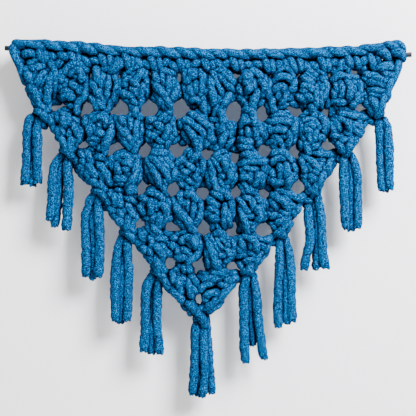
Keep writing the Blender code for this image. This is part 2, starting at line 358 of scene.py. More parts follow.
fanKinds["cap"] = {"footAt": -0.3, "strands": [
    (5.3, 8, [(-90, 92), (-20, 102), (55, 94), (80, 76)]),
    (5.0, 9, [(-110, 78), (-60, 84), (-20, 70)]),
    (4.9, 10, [(-35, 74), (-15, 60), (-40, 48)]),
    (5.0, 8, [(100, 82), (132, 62), (130, 40)]),
    (5.0, 10, [(20, 66), (65, 68), (85, 50), (60, 34)]),
    (4.8, 8, [(-140, 66), (-120, 54), (-90, 44)]),
    (5.0, 8, [(-130, 36), (-90, 30), (-60, 20)]),
    (5.1, 10, [(30, 50), (0, 30), (-35, 6)]),
    (4.8, 7, [(115, 34), (70, 20), (20, 8)]),
    (4.8, 8, [(-50, 20), (-45, 6), (-30, -8)]),
]}
fanKinds["rings"] = {"footAt": -0.7, "strands": [
    (5.1, 7, [(-120, 84), (-40, 102), (50, 96), (120, 72)]),
    (5.0, 9, [(-110, 66), (-50, 84), (30, 82), (80, 60)]),
    (4.9, 10, [(-75, 50), (-40, 66), (5, 62), (15, 40)]),
    (4.9, 10, [(-70, 56), (-62, 38), (-35, 24)]),
    (4.8, 10, [(20, 50), (5, 30), (-25, 22)]),
    (5.0, 8, [(100, 84), (140, 62), (130, 42)]),
    (5.1, 10, [(20, 34), (80, 38), (135, 34)]),
    (5.0, 6, [(-140, 70), (-135, 48), (-105, 28)]),
    (5.0, 9, [(-110, 34), (-90, 16), (-60, -4)]),
    (4.8, 7, [(50, 24), (0, 14), (-45, 2)]),
]}
fanKinds["hook"] = {"footAt": 0.1, "strands": [
    (5.2, 8, [(-140, 96), (-60, 98), (30, 84)]),
    (5.0, 9, [(-140, 80), (-70, 76), (-10, 62)]),
    (4.9, 9, [(-120, 58), (-50, 58), (0, 46)]),
    (5.1, 10, [(70, 86), (125, 72), (120, 46), (80, 18)]),
    (5.1, 10, [(35, 56), (30, 34), (45, 12)]),
    (4.8, 8, [(-90, 42), (-40, 34), (10, 30)]),
    (4.8, 7, [(20, 96), (90, 98), (140, 84)]),
    (4.8, 6, [(-135, 48), (-100, 26), (-50, 10)]),
    (4.8, 8, [(70, 66), (62, 50), (72, 34)]),
    (4.8, 8, [(-20, 20), (5, 8), (15, -6)]),
]}
fanKinds["lobes"] = {"footAt": 0.1, "strands": [
    (5.2, 7, [(-140, 86), (-60, 102), (40, 96), (120, 76)]),
    (5.0, 9, [(-120, 70), (-50, 84), (20, 76)]),
    (5.0, 10, [(-40, 66), (-20, 50), (-35, 34)]),
    (5.0, 10, [(30, 70), (55, 52), (45, 34)]),
    (5.0, 8, [(100, 70), (130, 50), (110, 28)]),
    (4.9, 9, [(75, 44), (90, 26), (60, 12)]),
    (4.9, 8, [(-130, 54), (-95, 48), (-70, 34)]),
    (5.0, 9, [(-100, 28), (-40, 22), (10, 26)]),
    (4.8, 7, [(-70, 14), (-20, 6), (10, -6)]),
    (4.6, 6, [(-140, 40), (-110, 22), (-70, 10)]),
]}
fanKinds["leftTip"] = {"footAt": 0.9, "strands": [
    (5.2, 8, [(-220, 94), (-155, 76), (-100, 58)]),
    (5.3, 9, [(-110, 60), (-40, 40), (30, 22)]),
    (5.2, 9, [(20, 30), (55, 18), (80, 6)]),
    (4.9, 9, [(-70, 94), (-55, 76), (-35, 56)]),
    (5.0, 10, [(10, 92), (0, 70), (15, 46)]),
    (5.1, 9, [(90, 94), (110, 70), (90, 44)]),
    (4.8, 7, [(-60, 100), (10, 102), (80, 98)]),
    (4.8, 10, [(55, 80), (50, 60), (60, 40)]),
    (4.6, 6, [(-130, 92), (-105, 78), (-80, 66)]),
    (4.9, 8, [(90, 42), (75, 28), (85, 12)]),
]}
fanKinds["rightTip"] = {"footAt": -0.6, "strands": [
    (5.1, 7, [(-130, 100), (-40, 96), (60, 98), (160, 97)]),
    (5.0, 9, [(-130, 84), (-50, 82), (20, 90)]),
    (5.2, 10, [(-100, 52), (-50, 70), (10, 76)]),
    (5.0, 9, [(40, 88), (95, 80), (150, 84)]),
    (5.1, 10, [(20, 70), (70, 62), (120, 66)]),
    (5.1, 9, [(-90, 38), (-20, 52), (50, 48)]),
    (5.1, 6, [(160, 78), (110, 52), (45, 30)]),
    (5.2, 9, [(50, 34), (0, 22), (-50, 8)]),
    (4.7, 7, [(-115, 66), (-120, 50), (-95, 36)]),
]}
fanKinds["leftCorner"] = {"footAt": 0.4, "strands": [
    (5.3, 8, [(-155, 82), (-105, 68), (-55, 50)]),
    (5.3, 9, [(-95, 52), (-45, 33), (5, 12)]),
    (5.1, 10, [(45, 78), (2, 62), (-30, 46)]),
    (5.3, 10, [(85, 72), (62, 46), (52, 16)]),
    (5.0, 7, [(125, 82), (148, 56), (110, 28)]),
    (4.6, 9, [(-5, 44), (10, 34), (25, 20)]),
    (5.0, 7, [(-60, 98), (0, 100), (60, 95)]),
    (4.8, 8, [(-90, 84), (-50, 80), (-15, 88)]),
    (4.8, 7, [(70, 92), (110, 92), (145, 80)]),
    (5.0, 8, [(30, 20), (40, 6), (40, -8)]),
]}
fanKinds["rightCorner"] = {"footAt": 0.2, "strands": [
    (5.2, 8, [(-140, 98), (-40, 94), (60, 98), (150, 98)]),
    (5.1, 10, [(-135, 80), (-55, 84), (20, 76)]),
    (4.8, 8, [(10, 90), (70, 84), (140, 84)]),
    (5.1, 10, [(-120, 64), (-40, 66), (35, 58)]),
    (5.1, 10, [(-95, 46), (-15, 48), (60, 42)]),
    (4.8, 8, [(50, 72), (95, 66), (130, 56)]),
    (5.2, 7, [(165, 90), (140, 60), (100, 30), (45, 4)]),
    (4.9, 9, [(-60, 30), (-15, 16), (15, 0)]),
    (4.8, 8, [(55, 36), (35, 20), (20, 2)]),
    (4.6, 6, [(-145, 52), (-110, 34), (-70, 18)]),
]}
fanKinds["arcs"] = {"footAt": -0.3, "strands": [
    (5.0, 6, [(-85, 86), (0, 102), (75, 84)]),
    (4.8, 8, [(-70, 82), (15, 80), (45, 54)]),
    (4.8, 6, [(55, 86), (120, 70), (142, 44)]),
    (5.2, 10, [(-140, 82), (-80, 52), (-58, 26), (-25, -2)]),
    (4.6, 9, [(-110, 84), (-45, 64), (-10, 46)]),
    (4.3, 9, [(-35, 42), (5, 38), (40, 40)]),
    (4.8, 8, [(50, 60), (90, 36), (75, 14)]),
    (4.6, 8, [(-20, 30), (-2, 22), (20, 14)]),
    (4.7, 6, [(95, 28), (50, 8), (-5, -2)]),
    (4.5, 7, [(80, 62), (105, 52), (130, 34)]),
    (4.6, 4, [(-142, 58), (-135, 32), (-95, 10)]),
    (4.6, 6, [(-85, 30), (-70, 12), (-35, -6)]),
]}
fanKinds["stack"] = {"footAt": -0.4, "strands": [
    (5.3, 7, [(-145, 88), (-45, 99), (115, 80)]),
    (5.0, 9, [(-135, 70), (-25, 78), (100, 74)]),
    (4.6, 7, [(-140, 64), (-110, 52), (-80, 44)]),
    (4.6, 9, [(-75, 58), (-15, 58), (45, 54)]),
    (4.7, 9, [(100, 72), (95, 52), (75, 36)]),
    (5.0, 6, [(138, 70), (142, 46), (100, 24), (40, 8)]),
    (4.7, 9, [(30, 52), (42, 32), (10, 14)]),
    (5.1, 8, [(-145, 38), (-60, 38), (-20, 20)]),
    (4.6, 7, [(-120, 28), (-80, 12), (-45, -6)]),
    (4.6, 7, [(-30, 20), (-20, 6), (-35, -8)]),
    (4.4, 7, [(-40, 46), (0, 40), (25, 42)]),
]}
fanKinds["leftEdge"] = {"footAt": 0.4, "strands": [
    (4.8, 8, [(-100, 98), (-80, 86), (-45, 72)]),
    (4.8, 9, [(-20, 88), (-10, 72), (0, 58)]),
    (5.2, 7, [(-220, 96), (-175, 80), (-135, 66)]),
    (5.3, 9, [(-150, 64), (-100, 50), (-50, 38)]),
    (5.3, 9, [(-80, 40), (-25, 22), (35, 4)]),
    (4.6, 9, [(-25, 60), (-10, 46), (0, 30)]),
    (4.9, 7, [(20, 76), (90, 84), (138, 66)]),
    (5.2, 10, [(40, 68), (90, 46), (120, 22)]),
    (5.1, 9, [(60, 34), (48, 16), (40, -6)]),
    (4.7, 6, [(-45, 98), (20, 102), (80, 94)]),
    (4.8, 6, [(135, 62), (128, 32), (85, 8)]),
    (4.5, 6, [(-130, 90), (-115, 80), (-105, 68)]),
    (4.4, 7, [(30, 60), (35, 46), (45, 32)]),
]}
fanKinds["rightEdge"] = {"footAt": 0.0, "strands": [
    (5.2, 7, [(-130, 102), (-10, 97), (110, 92), (230, 93)]),
    (4.8, 8, [(-140, 84), (-95, 76), (-55, 52)]),
    (5.0, 10, [(-80, 88), (10, 74), (45, 54)]),
    (4.9, 8, [(25, 60), (90, 68), (145, 58)]),
    (4.8, 4, [(220, 86), (170, 70), (125, 46)]),
    (4.9, 8, [(-135, 44), (-80, 38), (-30, 40)]),
    (4.9, 10, [(-55, 22), (0, 30), (55, 30)]),
    (5.1, 6, [(140, 58), (105, 30), (50, 4)]),
    (4.7, 7, [(-95, 22), (-50, 10), (0, 0)]),
    (4.7, 8, [(55, 30), (45, 14), (20, -4)]),
    (4.6, 7, [(-125, 62), (-95, 54), (-60, 46)]),
    (4.4, 7, [(0, 52), (20, 44), (50, 46)]),
]}
fanBack = [
    (5.0, -7, [(-120, 78), (-40, 94), (50, 94), (120, 78)]),
    (5.0, -8, [(-135, 66), (-80, 50), (-30, 62)]),
    (5.0, -8, [(-10, 68), (50, 66), (100, 50)]),
    (5.0, -8, [(130, 60), (85, 34), (35, 14)]),
    (5.0, -8, [(-115, 46), (-60, 26), (-10, 6)]),
    (5.0, -8, [(0, 48), (10, 26), (5, 6)]),
]
fanCore = [
    (4.8, 2, [(-110, 80), (-95, 60), (-60, 40)]),
    (4.8, 1, [(-55, 84), (-45, 60), (-25, 36)]),
    (4.8, 2, [(0, 88), (0, 50), (0, 16)]),
    (4.8, 1, [(55, 84), (45, 60), (25, 36)]),
    (4.8, 2, [(110, 80), (95, 60), (60, 40)]),
]


# short puffs between the fans, as row (0 is the top one), x, z, turn in degrees and radius in mm
puffReach = 7
puffStations = ((-1.4, 1, 0.8), (-0.6, -5, 1), (0.6, -5, 1), (1.4, 1, 0.8))
puffs = [
    (1, -39, -97, 20, 4.8), (1, -29, -103, 50, 4.8), (1, -116, -102, 60, 4.6), (1, 33, -109, -30, 4.8),
    (1, -191, -54, 10, 4.6), (0, 155, -60, 80, 4.6), (2, 77, -155, -40, 4.8), (2, -1, -156, 30, 4.6),
    (3, 45, -206, 70, 4.8), (3, -47, -215, 10, 4.6), (4, 3, -247, 60, 4.6), (1, -206, -79, -60, 5.0),
    (2, 89, -111, 60, 4.4), (0, -1, -40, 80, 4.8), (0, 36, -42, 70, 4.6),
]
# strands of the first row that belong to no fan, as x, depth, z and radius in mm
extraStrands = [
    [(106, -2, -39, 4.4), (113, -9, -44, 5), (124, -10, -46, 5.2), (134, -9, -43, 5), (140, -2, -38, 4.4)],
    [(140, -2, -34, 4.4), (147, -9, -42, 5), (151, -9, -50, 5), (147, -2, -57, 4.4)],
    [(96, -1, -44, 4.2), (103, -8, -50, 4.8), (110, -7, -53, 4.6), (116, 0, -54, 4)],
    [(62, -1, -20, 4), (70, -7, -30, 4.8), (72, -7, -42, 4.8), (69, 0, -52, 4)],
]


def dowelZ(x):
    return dowelDrop * (x / dowelHalf) ** 2


def rowLine(row, x):
    half = row["fans"][-1][0]
    return row["leftZ"] + (row["rightZ"] - row["leftZ"]) * (x + half) / (2 * half)


def rowFans(number):  # where each fan of a row stands
    row = rowTable[number]
    crowns = [fan[0] for fan in row["fans"]]
    for i, (crownX, footX, kind) in enumerate(row["fans"]):
        left = right = row["endReach"]
        if i > 0:
            left = (crownX - crowns[i - 1]) / 2 + fanShape["overlap"]
        if i < len(crowns) - 1:
            right = (crowns[i + 1] - crownX) / 2 + fanShape["overlap"]
        if number == 0:
            crownZ = dowelZ(crownX) - fanShape["topCrownDrop"]
        else:
            crownZ = rowLine(rowTable[number - 1], crownX) - fanShape["crownDrop"]
        footZ = rowLine(row, footX) - fanShape["footDip"]
        yield {"crown": (crownX, crownZ), "foot": (footX, footZ), "left": left, "right": right, "kind": kind,
               "flank": row["flanks"][0 if i == 0 else 1]}


def fanPoint(fan, across, up, radius):
    axis = fan["foot"][0] + (fan["crown"][0] - fan["foot"][0]) * up
    reach = fan["right"] if across > 0 else fan["left"]
    x = fan["crown"][0] + across / fanShape["flankAt"] * reach + fan["lean"] * (1 - up)
    off = x - axis
    side = math.copysign(1, off)
    reach = fan["right"] if side > 0 else fan["left"]
    if side == fan["edge"]:  # the free flank of an end fan runs out to the knot above
        flank, power = fan["flank"]
        limit = fanShape["footHalf"] + flank * max(up, 0.0) ** power
    else:
        limitAt, share = zip(*fanShape["outline"])
        share = np.interp(up, limitAt, share)
        limit = fanShape["narrowest"] * (1 - share) + reach * share
    limit -= radius
    if abs(off) > limit:
        x = axis + side * (limit + fanShape["give"] * (abs(off) - limit))
    return x, fan["foot"][1] + (fan["crown"][1] - fan["foot"][1]) * up


def tuckEnds(points, side):  # both ends carry on and dive into the fan
    tips = []
    for end, inner in ((0, 1), (-1, -2)):
        tip = points[end] + (points[end] - points[inner]) * fanShape["tuckReach"]
        tip[1] = math.copysign(fanShape["tuck"], side)
        tip[3] *= fanShape["tuckThin"]
        tips.append(tip)
    return smoothPath([tips[0], *points, tips[1]], yarn["step"])


def fanStrands(fan, rng):
    kind = fanKinds[fan["kind"]]
    fan["edge"] = fan["kind"].startswith("right") - fan["kind"].startswith("left")
    fan["lean"] = fan["foot"][0] - fan["crown"][0] - kind["footAt"] / fanShape["flankAt"] * fan["right"]
    middle = dict(fan, lean=fan["foot"][0] - fan["crown"][0])
    paths = []
    for layerFan, strands in ((fan, kind["strands"]), (middle, fanBack), (middle, fanCore)):
        for radius, standOut, way in strands:
            shift = rng.normal(0, jitter["strand"])
            thick = radius * fanShape["thin"] * rng.normal(1, jitter["radius"])
            points = []
            for k, point in enumerate(way):
                across, up = point[0] / 100, point[1] / 100
                bow = math.sin(math.pi * (k + 0.6) / (len(way) + 0.2))  # arches out in its middle
                half = fanShape["domeHalf"]
                dome = fanShape["dome"] * math.cos(min(abs(across), half) / half * math.pi / 2)
                dome *= 0.3 + 0.7 * math.sin(math.pi * min(max(up, 0), 1))
                depth = -standOut * bow - (dome if standOut > fanShape["domeFrom"] else 0)
                depth += rng.normal(0, jitter["depth"])
                x, z = fanPoint(layerFan, across + shift[0] + rng.normal(0, jitter["across"]),
                                up + shift[1] + rng.normal(0, jitter["up"]), radius)
                points.append(np.array((x, depth, z, thick * (0.9 + 0.1 * bow))))
            paths.append(tuckEnds(points, standOut))
            if strands is kind["strands"] and rng.random() < partner["share"]:
                chord = points[-1] - points[0]
                aside = np.array([-chord[2], 0, chord[0], 0])
                aside *= rng.choice([-1, 1]) * partner["aside"] / (np.linalg.norm(aside) + 1e-6)
                centre = np.mean(points, axis=0)
                beside = [centre + (p - centre) * partner["size"] + aside for p in points]
                for p in beside:
                    p[1] += rng.normal(*partner["back"])
                    p[3] = thick * partner["thin"]
                paths.append(tuckEnds(beside, standOut))
    for _ in range(lump["count"]):
        across, up = rng.uniform(-lump["across"], lump["across"]), rng.uniform(*lump["up"])
        turn = rng.uniform(0, math.pi)
        x, z = fanPoint(fan, across, up, lump["margin"])
        depth = rng.uniform(*lump["depth"])
        stations = ((-1.5, 0, 0.8), (-0.6, depth * 0.9, 1), (0.6, depth, 1), (1.5, 0, 0.8))
        paths.append(shortLoop(x, z, lump["reach"], turn, rng.uniform(*lump["radius"]), stations))
    for path in paths:
        along = np.arange(len(path)) * yarn["step"] / fanShape["swellLength"]
        path[:, 3] *= 1 + fanShape["swell"] * np.sin(along * 2 * math.pi + rng.uniform(0, 6))
    return paths


def makeRows():
    rng = np.random.default_rng(11)
    paths, owners = [], []
    for number in range(len(rowTable)):
        for fan in rowFans(number):
            for path in fanStrands(fan, rng):
                paths.append(path)
                owners.append(number)
    paths += [smoothPath(strand, yarn["step"]) for strand in extraStrands]
    owners += [0] * len(extraStrands)
    for number, x, z, turn, radius in puffs:
        paths.append(shortLoop(x, z, puffReach, math.radians(turn), radius, puffStations))
        owners.append(number)
    print("yarn in the rows", round(sum(len(p) - 1 for p in paths) * yarn["step"] * mm, 1), "m")
    paths = settle(paths, yarn["rounds"])
    for number in range(len(rowTable)):
        piece = makeYarn(f"clusterRow{number + 1}", [p for p, o in zip(paths, owners) if o == number])
        dressPiece(piece, "crochet_panel")


# the edging worked over the dowel

edging = {
    "ropeStep": 22.0, "ropeFrom": -236.0, "ropeTo": 212.0, "ropeRadius": 5.1, "coreRadius": 6.9,
    "legs": [-207, -166, -126, -99, -65, -31, 1, 36, 75, 110, 144, 180, 206],
    "legRadius": 4.8,
    "chainInset": 7, "chainStitch": 13,  # the foundation chain between two pairs of legs
    "chainDrop": 3.2, "bareDrop": 3.0, "chainFalls": [-3, 0, 3], "pickUps": 0.6,
    "bareSpans": [(-159, -137), (-85, -72), (-51, -37), (118, 134)],  # where the dowel can be seen
    "rounds": 24,
}
# a pair of legs and the one behind, as across, depth, height, share of radius and share of lean
legStrands = [
    [(-8, -4, 4, 0.8, 1), (-6, -10.5, -0.5, 1, 1), (-2, -11, -9, 1.05, 1), (1, -4, -17, 0.8, 0)],
    [(2, -4, 3, 0.8, 1), (4, -9.5, -2, 0.95, 0), (6, -9.5, -9, 1, 0), (6, -3, -17, 0.8, 0)],
    [(-2, 2, 5, 0.8, 0), (-1, 8, -2, 1, 0), (0, 8, -10, 1, 0), (1, 3, -18, 0.8, 0)],
]
# strands at the two ends and one further in, as x, depth, height over the dowel and radius, in mm
cornerStrands = [
    [(-236, 0, 7, 4.4), (-243, -9, 2, 5), (-241, -10, -7, 5), (-234, -8, -20, 5), (-229, -6, -34, 5),
     (-226, -2, -44, 4.6)],
    [(-232, 4, 4, 4), (-228, 7, -8, 5.4), (-218, 7, -18, 5.4), (-210, 6, -26, 5)],
    [(-226, 4, 2, 4), (-214, 7, -2, 5.4), (-202, 7, -12, 5.4), (-190, 6, -14, 5)],
    [(-232, 0, -10, 4), (-228, -9, -6, 5.2), (-218, -10, -4, 5.2), (-212, -4, -10, 4)],
    [(-226, 0, -20, 4), (-220, -9, -16, 5.2), (-210, -7, -18, 5)],
    [(-196, 2, -8, 4), (-194, -10, -14, 5.8), (-193, -4, -24, 4.6)],
    [(-190, 0, -22, 4), (-187, -9, -17, 5.2), (-181, -9, -8, 5.2), (-178, -3, -3, 4.2)],
    [(-224, 0, -30, 4), (-217, -9, -25, 5.2), (-207, -9, -19, 5.2), (-200, -2, -20, 4.2)],
    [(-124, -2, -22, 4.6), (-119, -10, -18, 5.8), (-107, -10, -6, 5.8), (-103, -3, -2, 4.6)],
    [(240, 5, 4, 4.6), (228, 7, -8, 5.4), (216, 7, -12, 5.4), (204, 6, -16, 5)],
    [(206, 2, 5, 4), (214, -10, 7, 5.4), (222, -12, -2, 5.6), (226, -2, -9, 4.4)],
    [(214, 2, 10, 4), (224, -9, 12, 5.4), (234, -10, 6, 5.6), (230, -4, -3, 4.6)],
    [(226, 4, 12, 4), (234, -6, 14, 5.2), (241, -8, 8, 5.4), (241, -2, 0, 4.6)],
    [(224, 0, 2, 4), (234, -11, 4, 5.4), (242, -8, -2, 5.2), (240, 0, -8, 4.2)],
    [(238, 2, 0, 4), (237, -8, -12, 5.0), (232, -8, -26, 5.0), (226, -4, -40, 4.6), (223, 2, -48, 4)],
    [(228, 2, -6, 4), (222, -10, -12, 5.4), (212, -10, -16, 5.4), (204, 0, -14, 4)],
    [(222, 2, 12, 4), (230, 8, 12, 5.4), (240, 8, 4, 5.4), (237, 4, -8, 4.6)],
]


# one loop of the chain over the dowel, as distance along, depth, height and share of its radius
frontLoop = [(-8, -4, 1.6, 0.85), (4, -6.6, 1.4, 1), (17, -7.2, 0.3, 1.05), (30, -6.6, -1.2, 1),
             (42, -4, -1.6, 0.85)]
backLoop = [(-1, 2, 0, 0.8), (8, 8, 1, 1), (20, 8.5, -1, 1), (31, 2, -2, 0.8)]


def ropeZ(x):  # the chain's middle, higher at the right end, lower at the left
    return dowelZ(x) + 7.2 + max(0.0, x - 190) * 0.08 - max(0.0, -212 - x) * 0.13


def makeEdging():
    rng = np.random.default_rng(5)
    paths = []
    x = edging["ropeFrom"]
    while x < edging["ropeTo"]:  # the chain of loops lying on the dowel, front and back
        r = edging["ropeRadius"] * rng.normal(1, 0.05)
        slant = rng.uniform(0.4, 1.6)
        paths.append([(x + along, depth, ropeZ(x + along) + up * slant, r * share)
                      for along, depth, up, share in frontLoop])
        paths.append([(x + along, depth, ropeZ(x + along) + up, 1.2 * r * share)
                      for along, depth, up, share in backLoop])
        x += edging["ropeStep"] * rng.uniform(0.8, 1.5)
    for x in edging["legs"]:  # pairs of legs that go down to the first row
        z = dowelZ(x)
        r = edging["legRadius"] * rng.normal(1, 0.04)
        lean = rng.normal(0, 1.5)
        for strand in legStrands:
            paths.append([(x + across + lean * leans, depth, z + up, r * share)
                          for across, depth, up, share, leans in strand])
    for x, ahead in zip(edging["legs"], edging["legs"][1:]):  # the foundation chain under the dowel
        gap = ahead - x - 2 * edging["chainInset"]
        count = max(1, round(gap / edging["chainStitch"]))
        for k in range(count):
            start = x + edging["chainInset"] + gap * k / count
            long = gap / count
            z = dowelZ(start) - edging["chainDrop"] + rng.normal(0, 0.6)
            if any(low < start + long / 2 < high for low, high in edging["bareSpans"]):
                z -= edging["bareDrop"]
            fall = rng.choice(edging["chainFalls"])
            paths.append([(start - 2, 2, z - 1 + fall, 4.2), (start + 0.2 * long, -8, z - 2 + fall, 5.2),
                          (start + 0.75 * long, -8.5, z - 2.5 - fall, 5.3),
                          (start + long + 2, 1, z - 4 - fall, 4.2)])
            if rng.random() < edging["pickUps"]:
                paths.append([(start + 0.3 * long, 2, z - 3, 4), (start + 0.45 * long, -7, z - 8, 4.8),
                              (start + 0.55 * long, -6, z - 14, 4.6), (start + 0.6 * long, 1, z - 18, 4)])
    for strand in cornerStrands:
        paths.append([(x, depth, dowelZ(x) + up, radius) for x, depth, up, radius in strand])
    paths.append([(x, 6 + 1.5 * math.sin(x / 5), dowelZ(x) - 10 + 1.5 * math.cos(x / 7), 5)
                  for x in range(-226, 227, 8)])  # a wavy strand along the back
    paths = settle([smoothPath(p, yarn["step"]) for p in paths], edging["rounds"])
    core = [(-231, -3, dowelZ(-231) - 22, 4.6), (-235, -4, dowelZ(-235) - 9, 5.4),
            (-242, -4, dowelZ(-242) + 2, 5.6)]
    for x in range(-232, 236, 9):  # one thick strand inside, so that no gap opens between the loops
        core.append((x, -3, ropeZ(x) + rng.normal(0, 0.5), edging["coreRadius"] * rng.normal(1, 0.04)))
    paths.append(smoothPath(core, yarn["step"]))
    dressPiece(makeYarn("edgingStitches", paths), "top_edging")


# tassels, from the left: the knot, its side (1 left, -1 right, 0 at the tip) and the way that
# each strand runs, in mm

tasselTable = [
    {"knot": (-210, -64), "side": 1, "strands": [
        [(-217, -70), (-223, -85), (-224, -110), (-224, -130), (-226, -157)],
        [(-214, -67), (-217, -96), (-217, -127), (-217, -159)],
        [(-210, -70), (-212, -90), (-211, -115), (-211, -133), (-209, -155)]]},
    {"knot": (-176, -112), "side": 1, "strands": [
        [(-175, -115), (-188, -131), (-191, -152), (-191, -177), (-194, -201)],
        [(-173, -117), (-183, -139), (-185, -170), (-188, -210)],
        [(-169, -114), (-173, -133), (-171, -164), (-173, -213)]]},
    {"knot": (-135, -162), "side": 1, "strands": [
        [(-135, -163), (-145, -180), (-150, -204), (-148, -232), (-147, -271)],
        [(-134, -163), (-141, -195), (-139, -232), (-140, -275)],
        [(-131, -163), (-134, -182), (-132, -213), (-131, -241), (-133, -271)]]},
    {"knot": (-99, -213), "side": 1, "strands": [
        [(-101, -214), (-107, -232), (-110, -251), (-111, -282), (-110, -307), (-109, -326)],
        [(-99, -213), (-102, -244), (-103, -275), (-105, -329)],
        [(-95, -213), (-97, -232), (-95, -263), (-95, -300), (-96, -325)]]},
    {"knot": (-60, -261), "side": 1, "strands": [
        [(-61, -262), (-69, -276), (-73, -294), (-72, -325), (-74, -363)],
        [(-60, -262), (-64, -300), (-65, -366)],
        [(-56, -262), (-58, -281), (-59, -318), (-57, -343), (-54, -366)]]},
    {"knot": (-3, -316), "side": 0, "strands": [
        [(-6, -317), (-10, -332), (-10, -361), (-11, -393), (-13, -416)],
        [(-4, -316), (-5, -361), (-5, -418)],
        [(-1, -316), (0, -361), (2, -393), (-1, -418)],
        [(2, -316), (5, -350), (8, -386), (11, -415)]]},
    {"knot": (55, -263), "side": -1, "strands": [
        [(52, -264), (49, -285), (50, -323), (51, -354), (53, -375)],
        [(54, -265), (57, -298), (59, -329), (62, -354)],
        [(59, -264), (64, -285), (67, -316), (71, -345), (75, -370)]]},
    {"knot": (94, -216), "side": -1, "strands": [
        [(92, -218), (93, -247), (92, -272), (92, -304), (93, -330)],
        [(94, -218), (99, -250), (101, -278), (103, -326)],
        [(98, -218), (105, -240), (108, -272), (109, -303), (110, -323)]]},
    {"knot": (133, -162), "side": -1, "strands": [
        [(129, -164), (128, -190), (131, -222), (126, -242), (124, -258)],
        [(133, -163), (138, -190), (140, -228), (139, -258)],
        [(136, -164), (143, -184), (145, -221), (147, -244), (151, -256)]]},
    {"knot": (174, -110), "side": -1, "strands": [
        [(170, -113), (171, -134), (172, -165), (175, -207)],
        [(174, -112), (180, -135), (180, -171), (182, -209)],
        [(178, -112), (187, -133), (189, -158), (190, -205)]]},
    {"knot": (214, -63), "side": -1, "strands": [
        [(211, -67), (215, -83), (216, -114), (219, -158)],
        [(215, -66), (220, -95), (223, -126), (224, -160)],
        [(219, -66), (225, -84), (226, -108), (228, -156)]]},
]
tassel = {
    "radius": 5.6,
    "depths": (-4.2, -0.6),  # front and back strands take turns
    "topDepth": 0.4, "topRadius": 0.8,  # shares at the knot
    "sway": 0.6, "uneven": 0.05, "wobble": 0.25,
    "rounds": 12,
    "tufts": 4, "tuftStep": 2.5,  # ragged bits at each cut end
    "fluff": 1.2,  # loose strands are fluffier than worked ones
}
# the loops wrapped round the top of a tassel, from its knot, as x, depth, z and radius in mm
leftKnot = [
    [(-4, 3, 2, 4), (-2, -9, 6, 4.4), (4, -13, 4, 4.7), (10, -11, -1, 4.6), (12, -3, -5, 4.2)],
    [(-4, 3, -5, 4), (-1, -11, -2, 4.4), (5, -13.5, -5, 4.6), (10, -10, -11, 4.6), (11, -2, -15, 4.2)],
    [(-3, 5, 5, 4), (3, 8, 3, 4.4), (9, 8, -4, 4.4), (11, 4, -9, 4)],
]
rightKnot = [
    [(-7, 3, -4, 4), (-6, -10, 2, 4.5), (-1.5, -13, 4, 4.6), (2.5, -11, 1, 4.4), (3, 0, -4, 4.1)],
    [(-17, 2, -5, 4), (-12, -3, -8, 4.6), (-6, -4, -10, 4.6), (-2, 0, -13, 4)],
    [(-7, 5, 4, 4), (-1, 8, 5, 4.4), (4, 7, -2, 4.2)],
]
tipKnot = [
    [(-14, -3, 13, 4.6), (-8, -9, 7, 5.4), (-2, -12, -1, 5.4), (3, -7, -10, 4.8), (4, -1, -16, 4.4)],
    [(9, -3, 12, 4.4), (4, -7, 6, 5), (-3, -7, -2, 5), (-7, -4, -10, 4.6)],
    [(-8, 6, 6, 4.4), (0, 8, 0, 5), (3, 6, -9, 4.6)],
]


def makeTassels():
    rng = np.random.default_rng(3)
    for number, entry in enumerate(tasselTable, 1):
        knotX, knotZ = entry["knot"]
        paths = [[(knotX + x, depth, knotZ + z, radius) for x, depth, z, radius in strand]
                 for strand in {1: leftKnot, -1: rightKnot, 0: tipKnot}[entry["side"]]]
        for k, route in enumerate(entry["strands"]):
            depth = tassel["depths"][k % 2]
            r = tassel["radius"] * rng.normal(1, 0.03)
            points = [(x, depth * (tassel["topDepth"] if i == 0 else 1) + rng.normal(0, tassel["sway"]),
                       z, r * rng.normal(1, tassel["uneven"])) for i, (x, z) in enumerate(route)]
            points[0] = (*points[0][:3], r * tassel["topRadius"])
            paths.append(points)
        paths = settle([smoothPath(p, yarn["step"]) for p in paths], tassel["rounds"])
        for path in paths:
            path[:, 3] *= rng.normal(1, tassel["uneven"], len(path))
            path[:, [0, 2]] += rng.normal(0, tassel["wobble"], (len(path), 2))
        ragged = []
        for path in paths[-len(entry["strands"]):]:  # the cut ends fray into little tufts
            x, y, z, r = path[-1]
            for k in range(tassel["tufts"]):
                turn = 2 * math.pi * (k + rng.uniform(0, 0.6)) / tassel["tufts"]
                out = np.array([math.cos(turn), math.sin(turn)]) * r
                stations = ((0.2, 6, 0.4), (0.55, 1, 0.5), (0.8, -rng.uniform(0.3, 2.2), 0.42))
                ragged.append([(x + share * out[0], y + share * out[1], z + up, r * thin)
                               for share, up, thin in stations])
        paths += [smoothPath(p, tassel["tuftStep"]) for p in ragged]
        piece = makeYarn(f"tassel{number:02d}Strands", paths, tassel["fluff"])
        dressPiece(piece, f"tassel_{number:02d}")


# materials

def newMaterial(name, settings):
    material = bpy.data.materials.new(name)
    material.use_nodes = True
    shader = material.node_tree.nodes["Principled BSDF"]
    for socket, value in settings.items():
        shader.inputs[socket].default_value = value
    return material, material.node_tree, shader


pile = {
    "tuftsPerMm": 1.25,  # the pile is finer, but is drawn as 0.8 mm tufts so that they show
    "clumpsPerMm": 0.3,  # pile lies in clumps of about 3 mm
    "tuftDepth": 1.2,
    # two painted shades from ambient occlusion, in creases and in the hollows between fans: reach in mm,
    # share of open sky at full and at no shade, and darkest
    "creases": ((5.0, 0.4, 0.98, 0.03), (22.0, 0.25, 0.7, 0.36)),
}


